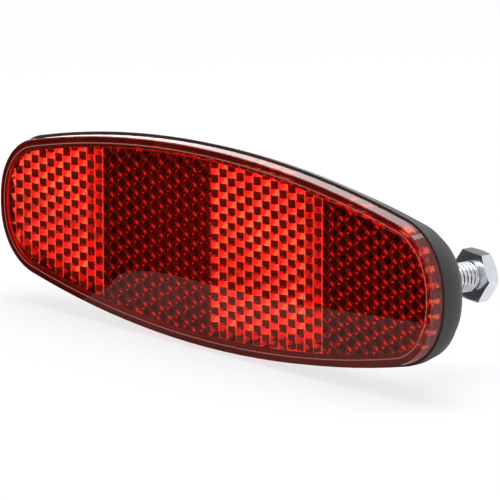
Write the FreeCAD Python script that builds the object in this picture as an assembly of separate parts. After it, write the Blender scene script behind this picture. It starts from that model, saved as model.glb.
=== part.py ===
"""Bicycle rack reflector: a red cube-corner lens on a black housing, held by two studs with nuts.

All sizes are millimetres. Seen from the front, +X is right and +Z is up, and the lens faces -Y.
The origin lies midway between the studs, on the plane of the mounting pads.
"""
import math
import os

import FreeCAD
import Part

# Lens
LENS_LENGTH = 111.1
LENS_HEIGHT = 34.0
LONG_RADIUS = 215.0
CORNER_RADIUS = 11.0
CORNER_SHARE = 0.9
END_RADIUS = 18.3
LENS_EDGE = 2.4
EDGE_TAPER = 0.2
EDGE_BEVEL = 0.15
FRONT_PLATE = 1.0
RIM_WIDTH = 1.4
PLAIN_BORDER = 0.8

# Cube-corner prisms on the back of the lens
PRISM_PITCH = 2.5
PANEL_COLUMNS = 13
PRISM_FOOT = 0.1

# Housing
HOUSING_LEDGE = 0.3
HOUSING_WALL = 1.5
HOUSING_DEPTH = 8.2
WALL_DRAFT = 8.5
BACK_ROUND = 7.5
BACK_BANDS = 4
BACK_DROP = 0.55
BACK_PLATE = 2.0
PAD_HEIGHT = 0.8
PAD_DIAMETER = 12.0
BOSS_WALL = 1.2

# Studs and nuts
STUD_SPACING = 80.0
STUD_DROP = 1.15
STUD_DIAMETER = 5.0
STUD_NECK = 5.8
STUD_LENGTH = 14.7
THREAD_MEETING = 4.48
HEAD_ACROSS = 8.0
HEAD_HEIGHT = 2.6
TIP_CHAMFER = 0.5
NUT_ACROSS = 8.0
NUT_HEIGHT = 2.7
NUT_GAP = 10.9
NUT_TURN = -5.3
NUT_CHAMFER_ANGLE = 30.0

# Clearances
STUD_FIT = 0.05
THREAD_FIT = 0.05

# Corner arcs of the oval, limited by the half height that the long arcs leave them at the ends
SAGGED_END = LENS_HEIGHT * (LONG_RADIUS - LENS_HEIGHT / 4.0) - LENS_LENGTH ** 2 / 4.0
END_ROOM = SAGGED_END / (2.0 * LONG_RADIUS - LENS_LENGTH)
CORNER = min(CORNER_RADIUS, CORNER_SHARE * END_ROOM)

# Depths worked out from the sizes above
HOUSING_BACK = -PAD_HEIGHT
JOINT = HOUSING_BACK - HOUSING_DEPTH
LENS_FRONT = JOINT - LENS_EDGE
PLATE_BACK = LENS_FRONT + FRONT_PLATE
FLOOR = HOUSING_BACK - BACK_PLATE

# Cube-corner geometry worked out from the pitch
CUBE_EDGE = PRISM_PITCH / math.sqrt(2.0)
CELL_RADIUS = PRISM_PITCH / math.sqrt(3.0)
STEP = CUBE_EDGE / math.sqrt(3.0)
COLUMN_PITCH = PRISM_PITCH * math.sqrt(3.0) / 2.0
PANEL_WIDTH = PANEL_COLUMNS * COLUMN_PITCH
VALLEY = PLATE_BACK + PRISM_FOOT
APEX = VALLEY + 2.0 * STEP

BACKWARD = FreeCAD.Vector(0.0, 1.0, 0.0)
SIDES = {"left": -1.0, "right": 1.0}


def oval_face(inset, y, centre=STUD_DROP):
    """Flat oval in the XZ plane: long arcs, corner arcs and end arcs, each tangent to the next."""
    long_centre = FreeCAD.Vector(0.0, y, LENS_HEIGHT / 2.0 - LONG_RADIUS)
    end_centre = FreeCAD.Vector(LENS_LENGTH / 2.0 - END_RADIUS, y, 0.0)
    long_reach = LONG_RADIUS - CORNER
    end_reach = END_RADIUS - CORNER
    span = end_centre.sub(long_centre)
    along = (long_reach ** 2 - end_reach ** 2 + span.Length ** 2) / (2.0 * span.Length)
    aside = math.sqrt(long_reach ** 2 - along ** 2)
    direction = span.normalize()
    sideways = FreeCAD.Vector(direction.z, 0.0, -direction.x)
    corner_centre = long_centre + direction * along + sideways * aside
    outwards = corner_centre.sub(long_centre).normalize()
    meet_long = corner_centre + outwards * (CORNER - inset)
    endwards = corner_centre.sub(end_centre).normalize()
    meet_end = corner_centre + endwards * (CORNER - inset)
    middle = (outwards + endwards).normalize()
    on_corner = corner_centre + middle * (CORNER - inset)

    def turned(point, x_sign, z_sign):
        return FreeCAD.Vector(point.x * x_sign, y, point.z * z_sign + centre)

    crest = FreeCAD.Vector(0.0, y, LENS_HEIGHT / 2.0 - inset)
    tip = FreeCAD.Vector(LENS_LENGTH / 2.0 - inset, y, 0.0)
    edges = []
    for sign in (1.0, -1.0):
        long_arc = [turned(meet_long, -1.0, sign), turned(crest, 1.0, sign), turned(meet_long, 1.0, sign)]
        end_arc = [turned(meet_end, sign, 1.0), turned(tip, sign, 1.0), turned(meet_end, sign, -1.0)]
        edges += [Part.Arc(*long_arc).toShape(), Part.Arc(*end_arc).toShape()]
        for x_sign in (1.0, -1.0):
            corner_arc = [turned(p, x_sign, sign) for p in (meet_long, on_corner, meet_end)]
            edges.append(Part.Arc(*corner_arc).toShape())
    return Part.Face(Part.Wire(Part.__sortEdges__(edges)))


def oval_block(inset, y_start, y_end):
    """Oval extruded backwards between two depths."""
    return oval_face(inset, y_start).extrude(BACKWARD * (y_end - y_start))


def oval_loft(sections, drop=0.0):
    """Solid with straight walls from oval to oval, each given as its inset and its depth.

    With a drop, the ovals sink by that much over the front half of the housing.
    """
    wires = []
    for inset, y in sections:
        sunk = drop * min(1.0, 2.0 * (y - JOINT) / HOUSING_DEPTH)
        wires.append(oval_face(inset, y, STUD_DROP - sunk).OuterWire)
    return Part.makeLoft(wires, True, True)


def edges_at(shape, y):
    """Edges that lie wholly in the plane at one depth."""
    return [e for e in shape.Edges if max(abs(v.Y - y) for v in e.Vertexes) < 1e-6]


def cylinder(diameter, y_start, y_end, x):
    """Round bar along Y."""
    start = FreeCAD.Vector(x, y_start, 0.0)
    return Part.makeCylinder(diameter / 2.0, y_end - y_start, start, BACKWARD)


def hexagon_bar(across, y_start, y_end, x, turn):
    """Six-sided bar along Y, with one corner turned away from +X by the angle in degrees."""
    radius = across / math.sqrt(3.0)
    corners = []
    for i in range(6):
        angle = math.radians(turn + 60.0 * i)
        corners.append(FreeCAD.Vector(x + radius * math.cos(angle), y_start, radius * math.sin(angle)))
    outline = Part.makePolygon(corners + corners[:1])
    return Part.Face(outline).extrude(BACKWARD * (y_end - y_start))


def cube_corner(x, z, turn):
    """Three square faces of one cube-corner prism, its point towards the back."""
    apex = FreeCAD.Vector(x, APEX, z)

    def corner(angle, y):
        angle = math.radians(angle)
        return FreeCAD.Vector(x + CELL_RADIUS * math.cos(angle), y, z + CELL_RADIUS * math.sin(angle))

    faces = []
    for start in (turn, turn + 120.0, turn + 240.0):
        ridge = corner(start, VALLEY + STEP)
        valley = corner(start + 60.0, VALLEY)
        next_ridge = corner(start + 120.0, VALLEY + STEP)
        faces.append(Part.Face(Part.makePolygon([apex, ridge, valley, next_ridge, apex])))
    return faces


def prism_surface(first_column, turn):
    """Cube-corner faces over one panel, with a spare column and row all round for trimming."""
    rows = math.ceil(LENS_HEIGHT / 2.0 / PRISM_PITCH) + 1
    faces = []
    for column in range(first_column - 1, first_column + PANEL_COLUMNS + 1):
        x = (column + 0.5) * COLUMN_PITCH
        shift = 0.5 * PRISM_PITCH if (column + (first_column < 0)) % 2 else 0.0
        for row in range(-rows, rows + 1):
            faces += cube_corner(x, row * PRISM_PITCH + shift + STUD_DROP, turn)
    return Part.makeShell(faces)


def prism_panel(index):
    """One panel of prisms. Neighbouring panels are turned half round, to catch light from both sides."""
    first_column = (index - 2) * PANEL_COLUMNS
    left = first_column * COLUMN_PITCH
    turn = 60.0 if index % 2 == 0 else 0.0
    foot = PLATE_BACK - FRONT_PLATE / 4.0
    field = oval_block(RIM_WIDTH + PLAIN_BORDER, foot, APEX + STEP)
    corner = FreeCAD.Vector(left, foot, -LENS_HEIGHT)
    strip = Part.makeBox(PANEL_WIDTH, APEX + STEP - foot, 2.0 * LENS_HEIGHT, corner)
    pieces = field.common(strip).generalFuse([prism_surface(first_column, turn)])[0].Solids
    return min(pieces, key=lambda solid: solid.CenterOfMass.y)


def lens():
    """Red cap: tapered edge, a rim that stands on the housing, and four panels of prisms."""
    front = (EDGE_TAPER + EDGE_BEVEL, LENS_FRONT)
    bevel = (EDGE_TAPER, LENS_FRONT + EDGE_BEVEL)
    body = oval_loft([front, bevel, (0.0, JOINT)])
    body = body.cut(oval_block(RIM_WIDTH, PLATE_BACK, JOINT))
    return body.multiFuse([prism_panel(i) for i in range(4)])


def back_section(angle):
    """Inset and depth where the round at the housing's back has turned through the angle."""
    draft = math.radians(WALL_DRAFT)
    wall_depth = HOUSING_DEPTH - BACK_ROUND * (1.0 - math.sin(draft))
    wall_inset = wall_depth * math.tan(draft) - HOUSING_LEDGE
    inset = wall_inset + BACK_ROUND * (math.cos(draft) - math.cos(angle))
    return inset, HOUSING_BACK - BACK_ROUND * (1.0 - math.sin(angle))


def rounded_back():
    """Outside of the housing: a drafted wall, then narrow bands that turn round to the back."""
    sections = [(-HOUSING_LEDGE, JOINT)]
    for i in range(BACK_BANDS + 1):
        turned = WALL_DRAFT + (90.0 - WALL_DRAFT) * i / BACK_BANDS
        sections.append(back_section(math.radians(turned)))
    return oval_loft(sections, BACK_DROP)


def housing():
    """Black tray: rounded back, hollow inside, with a six-sided boss round each stud's head."""
    floor_angle = math.asin((BACK_ROUND - BACK_PLATE) / BACK_ROUND)
    floor_inset = back_section(floor_angle)[0] + HOUSING_WALL / math.cos(floor_angle) + BACK_DROP
    hollow = oval_loft([(HOUSING_WALL - HOUSING_LEDGE, JOINT), (floor_inset, FLOOR)])
    shell = rounded_back().cut(hollow)
    boss_across = HEAD_ACROSS + 2.0 * BOSS_WALL
    boss_top = FLOOR - HEAD_HEIGHT - BOSS_WALL
    for side in SIDES.values():
        x = side * STUD_SPACING / 2.0
        boss = hexagon_bar(boss_across, boss_top, FLOOR + BACK_PLATE / 2.0, x, 0.0)
        pad = cylinder(PAD_DIAMETER, HOUSING_BACK - BACK_PLATE / 2.0, 0.0, x)
        shell = shell.multiFuse([boss, pad])
        shell = shell.cut(stud_blank(x, STUD_FIT))
    return shell.removeSplitter()


def stud_blank(x, gap):
    """Head and neck of a stud, swollen by the gap: the shape that the housing is moulded round."""
    head = hexagon_bar(HEAD_ACROSS + 2.0 * gap, FLOOR - HEAD_HEIGHT - gap, FLOOR + gap, x, 0.0)
    return head.fuse(cylinder(STUD_NECK + 2.0 * gap, FLOOR, 0.0, x))


def stud(x):
    """Stud: hexagon head and neck in the housing, bare shank up to the nut, then the threaded end."""
    shank = cylinder(STUD_DIAMETER, 0.0, NUT_GAP, x)
    end = cylinder(THREAD_MEETING, NUT_GAP, STUD_LENGTH, x)
    end = end.makeChamfer(TIP_CHAMFER, edges_at(end, STUD_LENGTH))
    return stud_blank(x, 0.0).multiFuse([shank, end]).removeSplitter()


def nut(x, turn):
    """Hexagon nut with the corners of its far face turned down, on the threaded end of a stud."""
    far = NUT_GAP + NUT_HEIGHT
    body = hexagon_bar(NUT_ACROSS, NUT_GAP, far, x, turn)
    flat_radius = NUT_ACROSS / 2.0
    wide = flat_radius + NUT_HEIGHT / math.tan(math.radians(NUT_CHAMFER_ANGLE))
    cone = Part.makeCone(flat_radius, wide, NUT_HEIGHT, FreeCAD.Vector(x, far, 0.0), BACKWARD * -1.0)
    return body.common(cone).cut(cylinder(THREAD_MEETING + 2.0 * THREAD_FIT, NUT_GAP, far, x))


def main():
    os.makedirs("parts", exist_ok=True)
    pieces = {"lens": lens(), "housing": housing()}
    for name, side in SIDES.items():
        x = side * STUD_SPACING / 2.0
        pieces["stud_" + name] = stud(x)
        pieces["nut_" + name] = nut(x, side * NUT_TURN)
    for name, shape in pieces.items():
        solid = shape.Solids[0]
        solid.exportStep("parts/" + name + ".step")


main()
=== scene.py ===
import math

import bmesh
import bpy
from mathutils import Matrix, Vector


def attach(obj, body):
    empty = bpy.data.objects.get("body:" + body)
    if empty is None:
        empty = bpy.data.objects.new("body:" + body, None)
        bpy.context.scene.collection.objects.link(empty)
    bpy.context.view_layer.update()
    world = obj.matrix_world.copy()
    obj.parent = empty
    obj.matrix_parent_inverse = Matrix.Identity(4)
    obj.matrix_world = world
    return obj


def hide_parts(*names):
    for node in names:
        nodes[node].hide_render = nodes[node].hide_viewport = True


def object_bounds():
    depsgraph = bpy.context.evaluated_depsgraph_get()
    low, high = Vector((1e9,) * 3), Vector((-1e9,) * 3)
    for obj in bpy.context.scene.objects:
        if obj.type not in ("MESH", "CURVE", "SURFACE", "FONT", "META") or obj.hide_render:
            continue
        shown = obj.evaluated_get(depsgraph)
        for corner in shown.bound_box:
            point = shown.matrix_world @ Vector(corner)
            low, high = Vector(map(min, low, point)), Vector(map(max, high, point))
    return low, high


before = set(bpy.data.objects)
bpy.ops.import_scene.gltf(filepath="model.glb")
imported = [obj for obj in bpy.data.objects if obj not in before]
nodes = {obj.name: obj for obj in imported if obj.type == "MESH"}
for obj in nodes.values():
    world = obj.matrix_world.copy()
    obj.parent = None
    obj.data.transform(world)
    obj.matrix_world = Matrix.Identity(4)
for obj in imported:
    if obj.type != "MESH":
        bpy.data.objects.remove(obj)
cad_box = [list(corner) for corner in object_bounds()]
scene = bpy.context.scene

# Places taken from the part, in metres
MM = 0.001
HALF_PITCH = 1.25 * MM
FACET_SLANT = math.radians(30.0)
PANEL_COLUMNS = 13.0
PANEL_WIDTH = PANEL_COLUMNS * HALF_PITCH * math.sqrt(3.0)
LENS_CENTRE = 1.15 * MM
LENS_FRONT = -11.4 * MM
JOINT = -9.0 * MM
HOLLOW_FLOOR = -2.8 * MM
BOSS_LIMIT = 6.5 * MM
STUD_REACH = 40.0 * MM
STUD_END = 14.7 * MM
NUT_NEAR = 10.9 * MM
NUT_FAR = 13.6 * MM
NUT_HALF_FLATS = 4.0 * MM
NUT_TURN = -5.3

# Groove round the front of the lens
GROOVE_INSET = 1.0 * MM
GROOVE_HALF_WIDTH = 0.08 * MM
GROOVE_DEPTH = 0.06 * MM
GROOVE_MARGIN = 0.01 * MM

# Gap between the lens rim and the housing, which touch in the part
JOINT_GAP = 0.01 * MM

# Thread of the studs, with a lower crest inside the nut
THREAD_PITCH = 0.8 * MM
THREAD_DEPTH = 0.4 * MM
THREAD_GROOVE_SHARE = 0.8
THREAD_CREST = 2.48 * MM
NUT_CREST = 2.24 * MM
NUT_CREST_LEAD = 0.05 * MM
STUD_TAPER_START = 14.2 * MM
STUD_STEPS = 150
SHANK_START = 0.01 * MM

# Turned faces and countersunk bore of the nuts
NUT_FACE = 3.8 * MM
NUT_BORE = 2.29 * MM
NUT_SINK = 2.6 * MM
NUT_SINK_DEPTH = 0.35 * MM
NUT_SLOPE_NEAR = 15.0
NUT_SLOPE_FAR = 30.0
NUT_STEPS = 72

# Angles between faces, in degrees, up to which a piece is shaded smooth
LENS_SMOOTH = 15.0
HOUSING_SMOOTH = 35.0
STUD_SMOOTH = 50.0
NUT_SMOOTH = 25.0

# Limits for telling faces apart: lengths in metres, the others parts of a unit normal
TOUCH = 1e-6
WELD = 1e-7
FACET_MATCH = 0.98
LEVEL_FACE = 0.99
UPRIGHT_WALL = 0.02
UPRIGHT_BOSS = 0.05
FORWARD_FACE = 0.1
JOINT_MARGIN = 0.1 * MM

# Colours
LENS_TINT = (1.0, 0.10, 0.06, 1.0)
LENS_DEPTH_TINT = (0.985, 0.2, 0.02, 1.0)
# Emission colours of the lens's painted glow, painted highlight lines, glowing net and painted glints
BAR_GLOW_RED = (0.66, 0.20, 0.26, 1.0)
BAR_GLOW_PALE = (1.1, 2.6, 1.8, 1.0)
PAINTED_LINE_RED = (1.0, 0.22, 0.15, 1.0)
NET_GLOW_RED = (1.0, 0.16, 0.14, 1.0)
PAINTED_GLINT_ORANGE = (1.0, 0.4, 0.2, 1.0)
JOINT_BROWNS = ((0.09, 0.06, 0.055, 1.0), (0.17, 0.11, 0.10, 1.0))
GROOVE_REDS = ((0.38, 0.13, 0.12, 1.0), (0.52, 0.22, 0.20, 1.0))
BLACKS = ((0.044, 0.043, 0.045), (0.058, 0.056, 0.058))
ZINCS = ((0.58, 0.60, 0.65, 1.0), (0.74, 0.76, 0.80, 1.0))
PAPER = (0.88, 0.88, 0.88, 1.0)
WHITE = (1.0, 1.0, 1.0, 1.0)

# Lens plastic
LENS_INDEX = 1.49
LENS_DENSITY = 110.0

# Painted glow in the lens, which stands in for light led inside it: spans of noise and of lattice
# places, widths of lines in lattice steps, and levels
WEDGE_SPAN = (-0.2, 0.15)
CLOUD_SPAN = (0.35, 0.65)
CLOUD_LEVELS = (0.15, 1.0)
STRIP_SPAN = (0.82, 0.86)
STRIP_LEVELS = (0.45, 1.0)
BAR_GLOW_LEVEL = 0.75
BAR_GLOW_CLOUD = 0.4
PAINTED_LINE_WIDTH = 0.065
PAINTED_LINE_LEVEL = 0.9
NET_GLOW_WIDTH = 0.13
NET_GLOW_LEVEL = 0.09
PAINTED_GLINT_WIDTH = 0.2
PAINTED_GLINT_SPAN = (0.42, 0.58)
PAINTED_GLINT_LEVELS = (0.0, 0.6)

# Grain of black plastic and zinc, and how much floor and world shine
GRAIN_SPAN = (0.3, 0.7)
FLOOR_SHINE = 0.75
WORLD_LEVELS = (0.6, 1.0)


# Shader nodes

def fill(tree, node, inputs):
    """Sets inputs of a shader node, each to a plain value or to the output of another node."""
    for key, value in inputs.items():
        if isinstance(value, bpy.types.NodeSocket):
            tree.links.new(value, node.inputs[key])
        else:
            node.inputs[key].default_value = value


def add(tree, kind, inputs, **settings):
    node = tree.nodes.new(kind)
    for key, value in settings.items():
        setattr(node, key, value)
    fill(tree, node, inputs)
    return node


def calc(tree, operation, *values):
    """One sum in a shader. Each value is a number or the output of another node."""
    return add(tree, "ShaderNodeMath", dict(enumerate(values)), operation=operation).outputs["Value"]


def product(tree, first, *others):
    for value in others:
        first = calc(tree, "MULTIPLY", first, value)
    return first


def noise(tree, scale, detail, roughness=0.5):
    place = add(tree, "ShaderNodeTexCoord", {}).outputs["Object"]
    inputs = {"Vector": place, "Scale": scale, "Detail": detail, "Roughness": roughness}
    return add(tree, "ShaderNodeTexNoise", inputs).outputs["Fac"]


def ramp(tree, source, span, result=(0.0, 1.0)):
    """Maps the span of the source to the span of the result, and keeps to its ends outside."""
    return add(tree, "ShaderNodeMapRange", {
        "Value": source,
        "From Min": span[0],
        "From Max": span[1],
        "To Min": result[0],
        "To Max": result[1]}).outputs["Result"]


def mixed(tree, factor, colours):
    """A colour between two."""
    inputs = {"Factor": factor, "A": colours[0], "B": colours[1]}
    return add(tree, "ShaderNodeMix", inputs, data_type="RGBA").outputs["Result"]


def follow_grain(tree, shader, grain, roughness, strength, depth):
    """Lets the roughness and a slight relief follow a fine grain."""
    relief = add(tree, "ShaderNodeBump", {"Height": grain, "Strength": strength, "Distance": depth})
    fill(tree, shader, {
        "Roughness": ramp(tree, grain, GRAIN_SPAN, roughness),
        "Normal": relief.outputs["Normal"]})


def seen_by(tree, *rays):
    """One for the given kinds of ray, and nothing for all others."""
    path = add(tree, "ShaderNodeLightPath", {})
    level = 0.0
    for ray in rays:
        level = calc(tree, "MAXIMUM", level, path.outputs["Is " + ray + " Ray"])
    return level


# Materials

def new_material(name):
    mat = bpy.data.materials.new(name)
    mat.use_nodes = True
    tree = mat.node_tree
    return mat, tree, tree.nodes["Principled BSDF"]


def red_lens(name):
    mat, tree, shader = new_material(name)
    fill(tree, shader, {
        "Base Color": LENS_TINT,
        "Transmission Weight": 1.0,
        "IOR": LENS_INDEX,
        "Roughness": 0.0})
    absorb = add(tree, "ShaderNodeVolumeAbsorption", {"Color": LENS_DEPTH_TINT, "Density": LENS_DENSITY})
    fill(tree, tree.nodes["Material Output"], {"Volume": absorb.outputs["Volume"]})
    return mat


def object_place(tree):
    coords = add(tree, "ShaderNodeTexCoord", {})
    return add(tree, "ShaderNodeSeparateXYZ", {"Vector": coords.outputs["Object"]}).outputs


def lattice(tree):
    """Place in the prism pattern, counted in half pitches: up the columns and along both slants."""
    place = object_place(tree)
    rows = calc(tree, "MULTIPLY_ADD", place["Z"], 1.0 / HALF_PITCH, -LENS_CENTRE / HALF_PITCH)
    half_rows = calc(tree, "MULTIPLY", rows, 0.5)
    columns = calc(tree, "MULTIPLY", place["X"], math.cos(FACET_SLANT) / HALF_PITCH)
    # The pattern starts a quarter of a step in on the left half, and three quarters in on the right half
    right = calc(tree, "GREATER_THAN", place["X"], 0.0)
    columns = calc(tree, "SUBTRACT", columns, calc(tree, "MULTIPLY_ADD", right, 0.5, 0.25))
    return rows, calc(tree, "ADD", columns, half_rows), calc(tree, "SUBTRACT", columns, half_rows)


def near_line(tree, place, width):
    """One on the lines where a lattice count is whole, fading to nothing at the width."""
    distance = calc(tree, "PINGPONG", place, 0.5)
    return ramp(tree, distance, (0.5 * width, width), (1.0, 0.0))


def painted_glow_lens(name):
    """The lens plastic with its shader, to carry a painted glow, and a value that is one where a face is
    seen from inside.
    """
    mat = red_lens(name)
    tree = mat.node_tree
    inside = add(tree, "ShaderNodeNewGeometry", {}).outputs["Backfacing"]
    return mat, tree, tree.nodes["Principled BSDF"], inside


def painted_glow_prism():
    """Facets of the bars in the bright panels: a painted glow on their air side, standing in for light
    led inside the lens, paler at the lower right.
    """
    mat, tree, shader, inside = painted_glow_lens("red_lens_painted_glow")
    rows, _, falling = lattice(tree)
    beside = calc(tree, "SUBTRACT", calc(tree, "FRACT", falling), calc(tree, "FRACT", rows))
    wedge = ramp(tree, beside, WEDGE_SPAN)
    cloud = ramp(tree, noise(tree, scale=110.0, detail=2.0), CLOUD_SPAN, CLOUD_LEVELS)
    # The painted glow is dimmer on the last strip of each panel, and has no pale wedges there
    across = calc(tree, "FRACT", calc(tree, "DIVIDE", object_place(tree)["X"], PANEL_WIDTH))
    inner = ramp(tree, across, STRIP_SPAN, (1.0, 0.0))
    shade = ramp(tree, inner, (0.0, 1.0), STRIP_LEVELS)
    level = calc(tree, "MULTIPLY_ADD", cloud, BAR_GLOW_CLOUD, BAR_GLOW_LEVEL)
    outside = calc(tree, "SUBTRACT", 1.0, inside)
    fill(tree, shader, {
        "Emission Color": mixed(tree, product(tree, wedge, cloud, inner), (BAR_GLOW_RED, BAR_GLOW_PALE)),
        "Emission Strength": product(tree, level, shade, outside)})
    return mat


def painted_line_prism():
    """Facets of the dark squares: their slanted edges show as painted bright upright lines, a glow seen
    from inside the lens.
    """
    mat, tree, shader, inside = painted_glow_lens("red_lens_painted_lines")
    _, rising, _ = lattice(tree)
    level = product(tree, near_line(tree, rising, PAINTED_LINE_WIDTH), PAINTED_LINE_LEVEL, inside)
    fill(tree, shader, {"Emission Color": PAINTED_LINE_RED, "Emission Strength": level})
    return mat


def painted_net_prism():
    """Facets of the dark panels: a faint painted glow in a net along their edges."""
    mat, tree, shader, inside = painted_glow_lens("red_lens_painted_net")
    _, rising, falling = lattice(tree)
    net = calc(tree, "MAXIMUM", near_line(tree, rising, NET_GLOW_WIDTH), near_line(tree, falling, NET_GLOW_WIDTH))
    level = product(tree, net, NET_GLOW_LEVEL, inside)
    fill(tree, shader, {"Emission Color": NET_GLOW_RED, "Emission Strength": level})
    return mat


def frosted_wall_painted_glints():
    """Inner wall of the lens rim: slightly dull, with painted glints that stand in for the prisms seen
    through the rim.
    """
    mat, tree, shader, inside = painted_glow_lens("red_lens_frosted_painted_glints")
    rows, _, _ = lattice(tree)
    cloud = ramp(tree, noise(tree, scale=700.0, detail=1.0), PAINTED_GLINT_SPAN, PAINTED_GLINT_LEVELS)
    line = near_line(tree, calc(tree, "MULTIPLY", rows, 0.5), PAINTED_GLINT_WIDTH)
    fill(tree, shader, {
        "Transmission Weight": 0.8,
        "Roughness": 0.2,
        "Emission Color": PAINTED_GLINT_ORANGE,
        "Emission Strength": product(tree, line, cloud, inside)})
    return mat


def dull_plastic(name, colours, scale, detail, roughness):
    """Lens plastic that isn't polished: the welded back of the rim, or the flanks of the groove."""
    mat, tree, shader = new_material(name)
    colour = mixed(tree, noise(tree, scale, detail), colours)
    fill(tree, shader, {"Base Color": colour, "Roughness": roughness})
    return mat


def black_plastic(name, level):
    mat, tree, shader = new_material(name)
    colours = [(*(level * part for part in black), 1.0) for black in BLACKS]
    cloud = noise(tree, scale=90.0, detail=3.0)
    fill(tree, shader, {"Base Color": mixed(tree, cloud, colours), "Specular IOR Level": 0.35})
    grain = noise(tree, scale=4200.0, detail=6.0, roughness=0.6)
    follow_grain(tree, shader, grain, roughness=(0.5, 0.66), strength=0.25, depth=0.04 * MM)
    return mat


def zinc():
    mat, tree, shader = new_material("zinc_steel")
    cloud = noise(tree, scale=350.0, detail=4.0)
    fill(tree, shader, {"Base Color": mixed(tree, cloud, ZINCS), "Metallic": 1.0})
    grain = noise(tree, scale=2500.0, detail=5.0)
    follow_grain(tree, shader, grain, roughness=(0.10, 0.22), strength=0.12, depth=0.03 * MM)
    return mat


# Pieces

def dressed(node, name, material, angle, rework=None):
    """A copy of a CAD node, reworked if asked, with smooth shading up to an angle."""
    mesh = nodes[node].data.copy()
    mesh.name = name
    shape = bmesh.new()
    shape.from_mesh(mesh)
    bmesh.ops.remove_doubles(shape, verts=shape.verts, dist=WELD)
    if rework:
        rework(shape)
    bmesh.ops.recalc_face_normals(shape, faces=shape.faces)
    shape.to_mesh(mesh)
    shape.free()
    mesh.materials.clear()
    mesh.materials.append(material)
    if mesh.has_custom_normals:
        mesh.attributes.remove(mesh.attributes["custom_normal"])
    mesh.shade_smooth()
    mesh.set_sharp_from_angle(angle=math.radians(angle))
    piece = bpy.data.objects.new(name, mesh)
    scene.collection.objects.link(piece)
    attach(piece, "root")
    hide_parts(node)
    return piece


def join_rings(shape, rings):
    """Faces between rings of vertices, each ring closed on itself."""
    for low, high in zip(rings, rings[1:]):
        for i in range(len(low)):
            j = (i + 1) % len(low)
            shape.faces.new((low[i], low[j], high[j], high[i]))


def edge_loop(edges):
    """Vertices of one closed chain of edges, in order."""
    left = set(edges)
    loop = [edges[0].verts[0]]
    while left:
        edge = next(e for e in loop[-1].link_edges if e in left)
        left.remove(edge)
        loop.append(edge.other_vert(loop[-1]))
    return loop[:-1]


def groove_front(shape):
    """Rework that cuts a fine groove round the front of the lens, a little inside its edge."""
    front = {f for f in shape.faces if max(abs(v.co.y - LENS_FRONT) for v in f.verts) < TOUCH}
    border = [e for e in shape.edges if sum(f in front for f in e.link_faces) == 1]
    loop = edge_loop(border)
    bmesh.ops.delete(shape, geom=list(front), context="FACES")
    rings = [loop]
    for shift, depth in ((-GROOVE_HALF_WIDTH, 0.0), (0.0, GROOVE_DEPTH), (GROOVE_HALF_WIDTH, 0.0)):
        ring = []
        for i, vert in enumerate(loop):
            along = loop[(i + 1) % len(loop)].co - loop[i - 1].co
            inward = Vector((along.z, 0.0, -along.x)).normalized()
            if inward.dot(Vector((0.0, 0.0, LENS_CENTRE)) - vert.co) < 0.0:
                inward = -inward
            place = vert.co + inward * (GROOVE_INSET + shift) + Vector((0.0, depth, 0.0))
            ring.append(shape.verts.new(place))
        rings.append(ring)
    join_rings(shape, rings)
    shape.faces.new(rings[-1])


def thread_radius(y, turn):
    """Radius of a threaded stud at a place along it and a turn round it."""
    crest = NUT_CREST if y > NUT_NEAR - NUT_CREST_LEAD else THREAD_CREST
    slope = abs(2.0 * ((y / THREAD_PITCH - turn / (2.0 * math.pi)) % 1.0) - 1.0)
    radius = crest - THREAD_DEPTH * max(0.0, 1.0 - slope / THREAD_GROOVE_SHARE)
    if y > NUT_NEAR:
        radius = min(radius, NUT_CREST - max(0.0, y - STUD_TAPER_START))
    return radius


def thread_stud(x):
    """Rework that gives a stud's shank an M5 thread, lower inside the nut."""
    def rework(shape):
        shank = [f for f in shape.faces if f.calc_center_median().y > SHANK_START]
        bmesh.ops.delete(shape, geom=shank, context="FACES")
        foot = edge_loop([e for e in shape.edges if e.is_boundary])
        turns = [math.atan2(v.co.z, v.co.x - x) for v in foot]
        rings = [foot]
        for i in range(STUD_STEPS + 1):
            y = STUD_END * i / STUD_STEPS
            ring = []
            for turn in turns:
                across = Vector((math.cos(turn), 0.0, math.sin(turn))) * thread_radius(y, turn)
                ring.append(shape.verts.new(across + Vector((x, y, 0.0))))
            rings.append(ring)
        join_rings(shape, rings)
        shape.faces.new(rings[-1])
    return rework


def nut_rings(shape, x, turn, end, inward, slope):
    """Rings of one end of a nut, from its bore to its side. Depths run inward from the end."""
    rings = [[], [], [], []]
    for k in range(NUT_STEPS):
        angle = 2.0 * math.pi * k / NUT_STEPS
        side = NUT_HALF_FLATS / math.cos(angle % (math.pi / 3.0) - math.pi / 6.0)
        fall = (side - NUT_FACE) * math.tan(math.radians(slope))
        profile = ((NUT_BORE, NUT_SINK_DEPTH), (NUT_SINK, 0.0), (NUT_FACE, 0.0), (side, fall))
        place = angle + math.radians(turn)
        for ring, (radius, depth) in zip(rings, profile):
            point = (x + radius * math.cos(place), end + inward * depth, radius * math.sin(place))
            ring.append(shape.verts.new(point))
    return rings


def round_nut(x, turn):
    """Rework that builds a nut anew: both faces turned down at the corners, the bore countersunk."""
    def rework(shape):
        shape.clear()
        near = nut_rings(shape, x, turn, NUT_NEAR, 1.0, NUT_SLOPE_NEAR)
        far = nut_rings(shape, x, turn, NUT_FAR, -1.0, NUT_SLOPE_FAR)
        join_rings(shape, near + far[::-1] + near[:1])
    return rework


def facet_normal(angle):
    """Outward normal of a cube-corner facet that leans towards the angle, seen from the front."""
    angle = math.radians(angle)
    return Vector((math.cos(angle) * math.sqrt(2.0), 1.0, math.sin(angle) * math.sqrt(2.0))).normalized()


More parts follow.
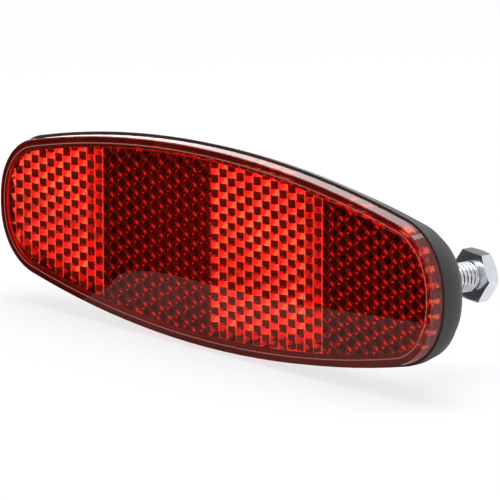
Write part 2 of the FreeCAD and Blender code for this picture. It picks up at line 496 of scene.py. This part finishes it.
def finish_lens(lens):
    """Gives each kind of facet its plastic with painted glow, and the rim's back, its inner wall with
    painted glints and the groove theirs.
    """
    # Plastic with its painted glow, the angle that its facets lean towards, and whether it is in even
    # (0) or odd (1) panels
    kinds = [(painted_glow_prism(), 120.0, 0), (painted_line_prism(), 240.0, 0), (painted_net_prism(), 180.0, 1)]
    joint = dull_plastic("red_lens_joint", JOINT_BROWNS, scale=1500.0, detail=4.0, roughness=0.8)
    wall = frosted_wall_painted_glints()
    groove = dull_plastic("red_lens_groove", GROOVE_REDS, scale=2500.0, detail=3.0, roughness=0.5)
    mesh = lens.data
    for material in [kind[0] for kind in kinds] + [joint, wall, groove]:
        mesh.materials.append(material)
    centre = Vector((0.0, 0.0, LENS_CENTRE))
    for face in mesh.polygons:
        chosen = None
        panel = math.floor(face.center.x / PANEL_WIDTH)
        for material, angle, odd in kinds:
            if panel % 2 == odd and face.normal.dot(facet_normal(angle)) > FACET_MATCH:
                chosen = material
        if face.normal.y > LEVEL_FACE and abs(face.center.y - JOINT) < TOUCH:
            chosen = joint
        back = max(mesh.vertices[i].co.y for i in face.vertices)
        upright = abs(face.normal.y) < UPRIGHT_WALL
        if upright and back > JOINT - TOUCH and face.normal.dot(centre - face.center) > 0.0:
            chosen = wall
        sunk = face.center.y - LENS_FRONT
        if GROOVE_MARGIN < sunk < GROOVE_DEPTH - GROOVE_MARGIN and face.normal.y < 0.0:
            chosen = groove
        if chosen:
            face.material_index = mesh.materials.find(chosen.name)
    # The rim's back stands just clear of the housing that it touches in the CAD
    for vert in mesh.vertices:
        if abs(vert.co.y - JOINT) < TOUCH:
            vert.co.y -= JOINT_GAP


def paint_shade_inside(housing):
    """Paints shade in the hollow and on the bosses inside the housing: they get a darker copy of the
    black plastic.
    """
    mesh = housing.data
    # A darker copy of the housing plastic: painted shade inside the housing
    inside = black_plastic("black_painted_shade_inside", level=0.35)
    mesh.materials.append(inside)
    for face in mesh.polygons:
        x, y, z = face.center
        near_stud = math.hypot(abs(x) - STUD_REACH, z) < BOSS_LIMIT
        on_boss = abs(face.normal.y) < UPRIGHT_BOSS and y < HOLLOW_FLOOR and near_stud
        in_hollow = face.normal.y < -FORWARD_FACE and y > JOINT + JOINT_MARGIN
        if on_boss or in_hollow:
            face.material_index = mesh.materials.find(inside.name)


lens_mat = red_lens("red_lens")
housing_mat = black_plastic("black_housing", level=0.5)
zinc_mat = zinc()
finish_lens(dressed("lens", "lens_glass", lens_mat, LENS_SMOOTH, groove_front))
paint_shade_inside(dressed("housing", "housing_shell", housing_mat, HOUSING_SMOOTH))
for side, sign in (("left", -1.0), ("right", 1.0)):
    stud_x = sign * STUD_REACH
    thread = thread_stud(stud_x)
    nut = round_nut(stud_x, sign * NUT_TURN)
    dressed("stud_" + side, "stud_bar_" + side, zinc_mat, STUD_SMOOTH, thread)
    dressed("nut_" + side, "nut_body_" + side, zinc_mat, NUT_SMOOTH, nut)


# Floor, cards and light

def level_sheet(name, outline, height, material):
    """A level sheet of the stage with the given outline."""
    mesh = bpy.data.meshes.new(name)
    mesh.from_pydata([(x, y, height) for x, y in outline], [], [tuple(range(len(outline)))])
    mesh.materials.append(material)
    obj = bpy.data.objects.new(name, mesh)
    scene.collection.objects.link(obj)
    return obj


def rectangle(left, near, right, far):
    return [(left, near), (right, near), (right, far), (left, far)]


def floor_material():
    """White paper that seems to shine by itself where the camera sees it, also through the lens."""
    mat, tree, shader = new_material("pale_floor")
    tree.nodes.remove(shader)
    mix = add(tree, "ShaderNodeMixShader", {
        "Fac": calc(tree, "MULTIPLY", seen_by(tree, "Camera", "Transmission"), FLOOR_SHINE),
        1: add(tree, "ShaderNodeBsdfDiffuse", {"Color": PAPER}).outputs["BSDF"],
        2: add(tree, "ShaderNodeEmission", {"Color": WHITE}).outputs["Emission"]})
    fill(tree, tree.nodes["Material Output"], {"Surface": mix.outputs["Shader"]})
    return mat


def card(name, colour, height, outline):
    """A level card of one colour, which only reflections see. Its outline is in millimetres."""
    mat, tree, shader = new_material(name)
    fill(tree, shader, {"Base Color": (*colour, 1.0), "Roughness": 1.0, "Specular IOR Level": 0.0})
    obj = level_sheet(name, [(x * MM, y * MM) for x, y in outline], height, mat)
    obj.visible_camera = False
    obj.visible_diffuse = False
    obj.visible_shadow = False
    obj.visible_transmission = False
    return obj


def soft_box(name, place, size, power, diffuse):
    """A square lamp that shines at the origin."""
    data = bpy.data.lights.new(name, "AREA")
    data.shape = "RECTANGLE"
    data.size = size
    data.size_y = size
    data.energy = power
    lamp = bpy.data.objects.new(name, data)
    lamp.location = place
    lamp.rotation_euler = (-Vector(place)).to_track_quat("-Z", "Y").to_euler()
    lamp.visible_diffuse = diffuse
    scene.collection.objects.link(lamp)


def studio_world():
    """White surroundings, seen at full strength but dimmer as a light on matt surfaces."""
    world = bpy.data.worlds.new("studio")
    world.use_nodes = True
    tree = world.node_tree
    shown = seen_by(tree, "Camera", "Glossy", "Transmission")
    fill(tree, tree.nodes["Background"], {
        "Color": WHITE,
        "Strength": ramp(tree, shown, (0.0, 1.0), WORLD_LEVELS)})
    scene.world = world


# The floor lies just under the part, and the cards lie on it one above the other
GROUND = cad_box[0][2]
FLOOR_HEIGHT = GROUND - 0.2 * MM
DARK_CARD_HEIGHT = GROUND + 0.1 * MM
WARM_CARD_HEIGHT = GROUND + 0.05 * MM
FLOOR_REACH = 3.0

floor_outline = rectangle(-FLOOR_REACH, -FLOOR_REACH, FLOOR_REACH, FLOOR_REACH)
level_sheet("floor", floor_outline, FLOOR_HEIGHT, floor_material())

# The lens's front reflects these two: the edge of the dark one is the edge of the pale veil on the lens
card("dark_flag", (0.01, 0.01, 0.01), DARK_CARD_HEIGHT, [
    (-600, -800), (60, -800), (60, -66), (-21, -45), (-51, -45), (-55, -43.5),
    (-56.5, -41), (-55.5, -38), (-49, -30), (-40, -12), (-600, -12)])
# The warm card's tint is painted red light on the floor near the lens, seen only in its reflection
card("warm_flag", (0.5, 0.28, 0.25), WARM_CARD_HEIGHT, rectangle(-60, -70, 60, -8))

# The right nut's top face reflects this card in place of the lamp
NUT_CARD_DISTANCE = 20.0 * MM
nut_top = Vector((STUD_REACH, NUT_FAR, NUT_HALF_FLATS))
towards_nut = Vector((0.69, -0.636, -0.34)).normalized()
nut_card = card("nut_flag", (0.5, 0.5, 0.52), 0.0, rectangle(-14, -14, 14, 14))
nut_card.location = nut_top - towards_nut * NUT_CARD_DISTANCE
nut_card.rotation_euler = towards_nut.to_track_quat("Z", "Y").to_euler()

soft_box("top_light", (0.05, 0.05, 0.7), size=0.6, power=4.0, diffuse=True)
soft_box("left_light", (-0.55, 0.55, 0.42), size=1.1, power=7.0, diffuse=False)
studio_world()

# Camera at the photograph's angle
AZIMUTH = math.radians(49.43)
ELEVATION = math.radians(11.96)
DISTANCE = 1.0
AIM = Vector((0.01096, -0.0114, 0.00275))
towards_camera = Vector((
    math.sin(AZIMUTH) * math.cos(ELEVATION),
    -math.cos(AZIMUTH) * math.cos(ELEVATION),
    math.sin(ELEVATION)))
camera_data = bpy.data.cameras.new("camera")
camera_data.sensor_width = 36.0
camera_data.lens = 437.8
camera_data.clip_start = 0.01
camera_data.clip_end = 50.0
camera = bpy.data.objects.new("camera", camera_data)
camera.location = AIM + DISTANCE * towards_camera
camera.rotation_euler = (AIM - camera.location).to_track_quat("-Z", "Y").to_euler()
scene.collection.objects.link(camera)
scene.camera = camera

scene.view_settings.view_transform = "Standard"
scene.cycles.max_bounces = 24
scene.cycles.glossy_bounces = 16
scene.cycles.transmission_bounces = 24
